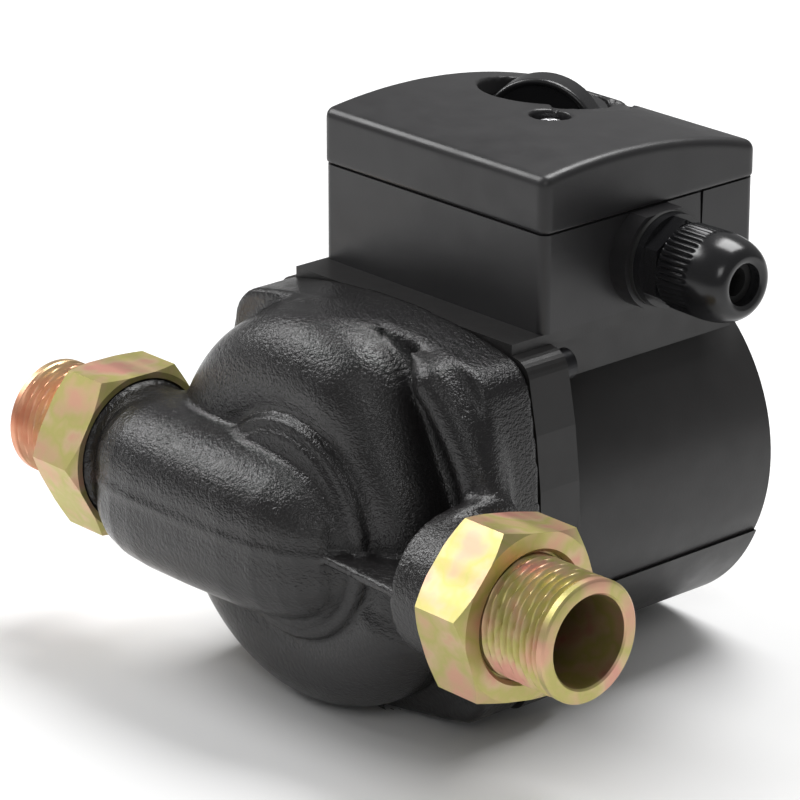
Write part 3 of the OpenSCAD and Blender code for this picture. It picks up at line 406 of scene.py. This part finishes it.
def tail_rows():
    c_end, end = TAIL["start"] + TAIL["collar"], TAIL["end"]
    rows = [(TAIL["start"], TAIL["bore"]), (TAIL["start"], TAIL["collar_r"]),
            (c_end, TAIL["collar_r"]), (c_end, TAIL["r"])]
    rows += [(x, thread_radius(x)) for x in np.arange(c_end + 0.4, end - 0.7, 0.2)]
    rows += [(end - 0.6, TAIL["r"]), (end - 0.15, TAIL["r"] - 0.45), (end, TAIL["r"] - 0.75),
             (end, TAIL["bore"] + 0.5), (end - 0.5, TAIL["bore"])]
    return rows


for label, slot, mirror in (("outlet", "zinc_yellow", 1), ("inlet", "zinc_warm", -1)):
    tail = turned(label + "_tail", tail_rows(), 144, round_x(0, 0, mirror))
    finish_piece(tail, "pump_body", slot, label + "_tailpiece")

# Terminal box lid: crowned, filleted shell with round recesses for the knob and the lid screw.
# A shallow crescent beside the knob carries its scale.
LID = dict(half=44.05, front=44.8, rear=124.9, corner=2.8, low=81.4, crown_y=72.0, crown_r=180.0, top=98.8)
KNOB = dict(x=-17.0, y=103.0, r=17.8, floor=90.1, recess=18.6)
SCREW = dict(x=6.4, y=82.8, r=5.7, floor=94.2, head_r=3.6, head=2.4, tip=72.0)


def box_outline(x, y, inset, corner):
    mid = (LID["front"] + LID["rear"]) / 2
    ax = np.abs(x) - (LID["half"] - inset - corner)
    ay = np.abs(y - mid) - ((LID["rear"] - LID["front"]) / 2 - inset - corner)
    return np.minimum(np.maximum(ax, ay), 0) + np.hypot(np.maximum(ax, 0), np.maximum(ay, 0)) - corner


def crown_field(y, z):
    return np.hypot(y - LID["crown_y"], z - (LID["top"] - LID["crown_r"])) - LID["crown_r"]


def lid_field(x, y, z):
    crown = crown_field(y, z)
    body = rounded(box_outline(x, y, 0, LID["corner"]), crown, 2.4)
    body = smax(body, LID["low"] - z, 0.6)
    room = smax(box_outline(x, y, 2.4, 3.0), crown + 2.6, 1.5)
    cups = np.minimum(tube_z(x, y, z, 20.6, 87.7, 110, KNOB["x"], KNOB["y"]),
                      tube_z(x, y, z, 7.7, 89, 110, SCREW["x"], SCREW["y"]))
    body = np.maximum(body, -np.maximum(room, -cups))
    band = np.hypot(x - KNOB["x"], y - KNOB["y"])
    turn = np.degrees(np.arctan2(y - KNOB["y"], x - KNOB["x"]))
    scale = np.maximum(np.maximum(band - 25.0, np.abs(turn - 12) * 0.4 - 20), -(crown + 1.0))
    body = smax(body, -scale, 0.5)
    body = smax(body, -tube_z(x, y, z, KNOB["recess"], KNOB["floor"], 120, KNOB["x"], KNOB["y"]), 0.7)
    body = smax(body, -tube_z(x, y, z, SCREW["r"], SCREW["floor"], 120, SCREW["x"], SCREW["y"]), 0.7)
    body = np.maximum(body, -tube_z(x, y, z, 3.4, 80, 120, KNOB["x"], KNOB["y"], 0.1))
    return np.maximum(body, -tube_z(x, y, z, 2.4, 80, 120, SCREW["x"], SCREW["y"], 0.1))


lid = surface("lid", lid_field, (-45.5, 43.5, 80.5), (45.5, 126, 100), 0.62)
finish_piece(lid, "pump_body", "box_plastic", "terminal_lid")

# Lid screw: a domed silver head with a cross recess, in the lid's small round recess.
# Its head stands near the lid's surface, where the photograph shows it.
def screw_field(x, y, z):
    top = SCREW["floor"] + SCREW["head"]
    head = tube_z(x, y, z, SCREW["head_r"], SCREW["floor"], top, SCREW["x"], SCREW["y"], 0.9)
    shank = tube_z(x, y, z, 2.0, SCREW["tip"], top - 1, SCREW["x"], SCREW["y"], 0.4)
    dx, dy = np.abs(x - SCREW["x"]), np.abs(y - SCREW["y"])
    cross = np.minimum(np.maximum(dx - 0.5, dy - 2.1), np.maximum(dx - 2.1, dy - 0.5))
    return np.maximum(np.minimum(head, shank), -np.maximum(cross, top - 1.3 - z))


screw = surface("screw", screw_field, (2, 78.4, 71), (10.8, 87.2, 98), 0.22)
finish_piece(screw, "pump_body", "stainless", "lid_screw")

# Speed knob: a thin disc with a half-moon grip, scooped on both sides.
# It points a little off the pipe's direction, as in the photograph.
GRIP = dict(turn=math.radians(27), half=4.3, arc=17.9, axis_z=82.9, disc_top=91.6)


def knob_field(x, y, z):
    dx, dy = x - KNOB["x"], y - KNOB["y"]
    along = dx * math.cos(GRIP["turn"]) + dy * math.sin(GRIP["turn"])
    across = dy * math.cos(GRIP["turn"]) - dx * math.sin(GRIP["turn"])
    disc = tube_z(x, y, z, KNOB["r"], KNOB["floor"] + 0.3, GRIP["disc_top"], KNOB["x"], KNOB["y"], 0.35)
    arc = np.hypot(along, z - GRIP["axis_z"]) - GRIP["arc"] + 0.4
    scoop = arc + 1.9
    thick = np.abs(across) - GRIP["half"] + 1.0 * (1 - ramp(scoop, -0.5, 0.7))
    grip = np.maximum(rounded(arc, thick, 0.9), KNOB["floor"] + 0.3 - z)
    stem = tube_z(x, y, z, 3.0, 78.4, 91, KNOB["x"], KNOB["y"], 0.3)
    return smin(smin(disc, grip, 0.8), stem, 0.3)


knob = surface("knob", knob_field, (-36.5, 82.5, 77.5), (4.5, 123.5, 102.5), 0.42)
finish_piece(knob, "knob", "knob_plastic", "speed_knob")

# Gland cap: fine ribs on the skirt, a glossy dome and a wide mouth in front of the seal.
# The skirt is widest at the dome's edge.
GLAND = dict(y=83.8, z=68.1)
CAP = dict(x=58.0, skirt=11.0, end=80.0, r=12.3, ribs=44, rib=0.55, inner=9.5, room=8.2, mouth=5.8)


def rib_radius(r, live):
    def radius(angle):
        wave = 0.5 + 0.5 * np.cos(angle * CAP["ribs"])
        return r - CAP["rib"] * live * (1 - wave ** 0.6)
    return radius


def cap_rows():
    x0, r = CAP["x"], CAP["r"]
    rows = [(x0, CAP["inner"]), (x0, r - 0.9), (x0 + 0.4, rib_radius(r - 0.45, 0.3))]
    rows += [(x0 + a, rib_radius(r - 0.3 + 0.02 * a, 1.0)) for a in np.linspace(0.9, CAP["skirt"] - 0.8, 12)]
    rows += [(x0 + CAP["skirt"], rib_radius(r - 0.1, 0.15))]
    rise, lip = CAP["end"] - x0 - CAP["skirt"], CAP["mouth"] + 1.6
    rows += [(x0 + CAP["skirt"] + rise * math.sin(t), lip + (r - 0.1 - lip) * math.cos(t))
             for t in np.radians(np.linspace(4, 90, 18))]
    rows += [(CAP["end"] - 0.1, CAP["mouth"] + 0.5), (CAP["end"] - 0.6, CAP["mouth"]),
             (76.1, CAP["mouth"]), (76.1, CAP["room"]), (67.3, CAP["room"]), (67.3, CAP["inner"])]
    return rows


cap = turned("gland_nut", cap_rows(), CAP["ribs"] * 8, round_x(GLAND["y"], GLAND["z"]))
finish_piece(cap, "gland_nut", "gland_nylon", "gland_cap")

# Carried-over CAD pieces keep their shape; a small bevel rounds their sharp edges.
# The widths follow each piece's real edge: cast, moulded or machined.
EDGES = {"outlet_union_nut": 0.35, "inlet_union_nut": 0.35, "motor_housing": 0.45, "terminal_tray": 0.6,
         "gland_body": 0.35, "flange_screws": 0.3, "vent_screw": 0.3, "gland_washer": 0.3}
for name, width in EDGES.items():
    bevel = nodes[name].modifiers.new("edge", "BEVEL")
    bevel.width = width * MM
    bevel.segments = 2
    bevel.limit_method = "ANGLE"
    bevel.angle_limit = math.radians(35)
    bevel.harden_normals = False
